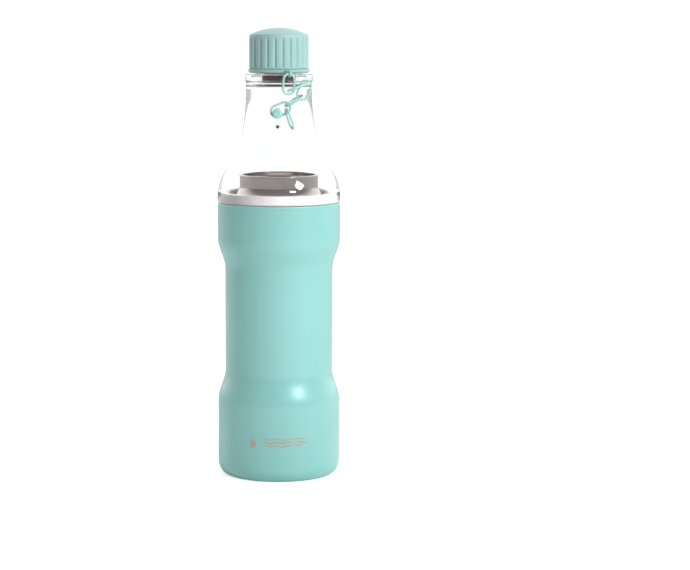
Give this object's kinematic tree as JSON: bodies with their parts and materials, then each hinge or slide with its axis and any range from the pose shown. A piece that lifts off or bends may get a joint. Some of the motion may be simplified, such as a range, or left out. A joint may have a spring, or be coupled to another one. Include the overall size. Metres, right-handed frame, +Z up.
{
  "type": "vacuum flask bottle",
  "caption": "Waisted double-wall steel bottle with a clear screw-on top, a fluted screw cap and a link chain that keeps the cap on the neck.",
  "frame": {"origin": "centre of the foot, on the surface that the bottle stands on", "axes": "+Z up along the bottle's axis; the front, with the stud of the chain, faces -Y"},
  "size_m": [0.0732, 0.0732, 0.2662],
  "materials": {
    "mint_paint": "satin",
    "mint_cap": "satin",
    "mint_chain": "satin",
    "clear_plastic": "gloss",
    "frosted_plastic": "satin",
    "white_plastic": "satin",
    "polished_steel": "polished",
    "brushed_steel": "satin",
    "silicone": "matte",
    "brown_plug": "gloss",
    "solder": "matte",
    "getter_metal": "matte"
  },
  "bodies": {
    "flask": {"outer_shell": "mint_paint", "outer_base": "brushed_steel", "base_cover": "mint_paint", "seal_bead": "solder", "getter": "getter_metal", "inner_flask": "polished_steel", "flask_neck": "polished_steel", "flask_floor": "polished_steel", "steel_shoulder": "polished_steel"},
    "seat": {"joint_gasket": "silicone"},
    "top": {"clear_top": "clear_plastic", "thread_ring": "frosted_plastic", "anchor_plate": "clear_plastic", "anchor_stud": "mint_chain", "anchor_rivet": "getter_metal"},
    "collar": {"tether_collar": "mint_cap"},
    "cap": {"cap_shell": "mint_cap", "cap_insert": "white_plastic", "cap_seal": "silicone", "mouth_plug": "brown_plug", "plug_ring_seal": "silicone"},
    "hanger": {"hanger_link": "mint_chain"},
    "fold": {"fold_link": "mint_chain"},
    "outer": {"outer_link": "mint_chain"},
    "return": {"return_link": "mint_chain"},
    "stud_loop": {"stud_link": "mint_chain"},
    "tail": {"tail_link": "mint_chain"}
  },
  "joints": [
    {"name": "top_lift", "type": "slide", "parent": "flask", "child": "seat", "axis": [0, 0, 1], "range_m": [0, 0.024]},
    {"name": "top_turn", "type": "hinge", "parent": "seat", "child": "top", "pos_m": [0, 0, 0.1634], "axis": [0, 0, 1], "range_deg": [0, 1442]},
    {"name": "cap_lift", "type": "slide", "parent": "top", "child": "collar", "axis": [0, 0, 1], "range_m": [0, 0.0148]},
    {"name": "cap_turn", "type": "hinge", "parent": "collar", "child": "cap", "pos_m": [0, 0, 0.2396], "axis": [0, 0, 1], "range_deg": [0, 668]},
    {"name": "hanger_swing", "type": "hinge", "parent": "collar", "child": "hanger", "pos_m": [0.00617, -0.02334, 0.2395], "axis": [-0.3584, 0.9336, 0], "range_deg": [0, 23]},
    {"name": "fold_swing", "type": "hinge", "parent": "hanger", "child": "fold", "pos_m": [0.00568, -0.02417, 0.22993], "axis": [-0.3584, 0.9336, 0], "range_deg": [0, 36]},
    {"name": "outer_swing", "type": "hinge", "parent": "fold", "child": "outer", "pos_m": [0.01613, -0.02059, 0.23383], "axis": [-0.3584, 0.9336, 0], "range_deg": [-46, 0]},
    {"name": "stud_swing", "type": "hinge", "parent": "top", "child": "stud_loop", "pos_m": [-0.00082, -0.02459, 0.21696], "axis": [0.0349, 0.9994, 0], "range_deg": [-2, 0]},
    {"name": "return_swing", "type": "hinge", "parent": "stud_loop", "child": "return", "pos_m": [0.00406, -0.02543, 0.22106], "axis": [-0.3584, 0.9336, 0], "range_deg": [-41, 0]},
    {"name": "tail_swing", "type": "hinge", "parent": "stud_loop", "child": "tail", "pos_m": [0.00428, -0.02476, 0.21916], "axis": [0.0349, 0.9994, 0], "range_deg": [-12, 12]}
  ],
  "couplings": [
    {"joint": "top_turn", "follows": "top_lift", "rad_per_m": 1047.2},
    {"joint": "cap_turn", "follows": "cap_lift", "rad_per_m": 785.4},
    {"joint": "hanger_swing", "follows": "cap_lift", "rad_per_m": 25.944},
    {"joint": "fold_swing", "follows": "cap_lift", "rad_per_m": 41.275},
    {"joint": "outer_swing", "follows": "cap_lift", "rad_per_m": -53.067},
    {"joint": "return_swing", "follows": "cap_lift", "rad_per_m": -47.171},
    {"joint": "stud_swing", "follows": "cap_lift", "rad_per_m": -1.1793}
  ]
}
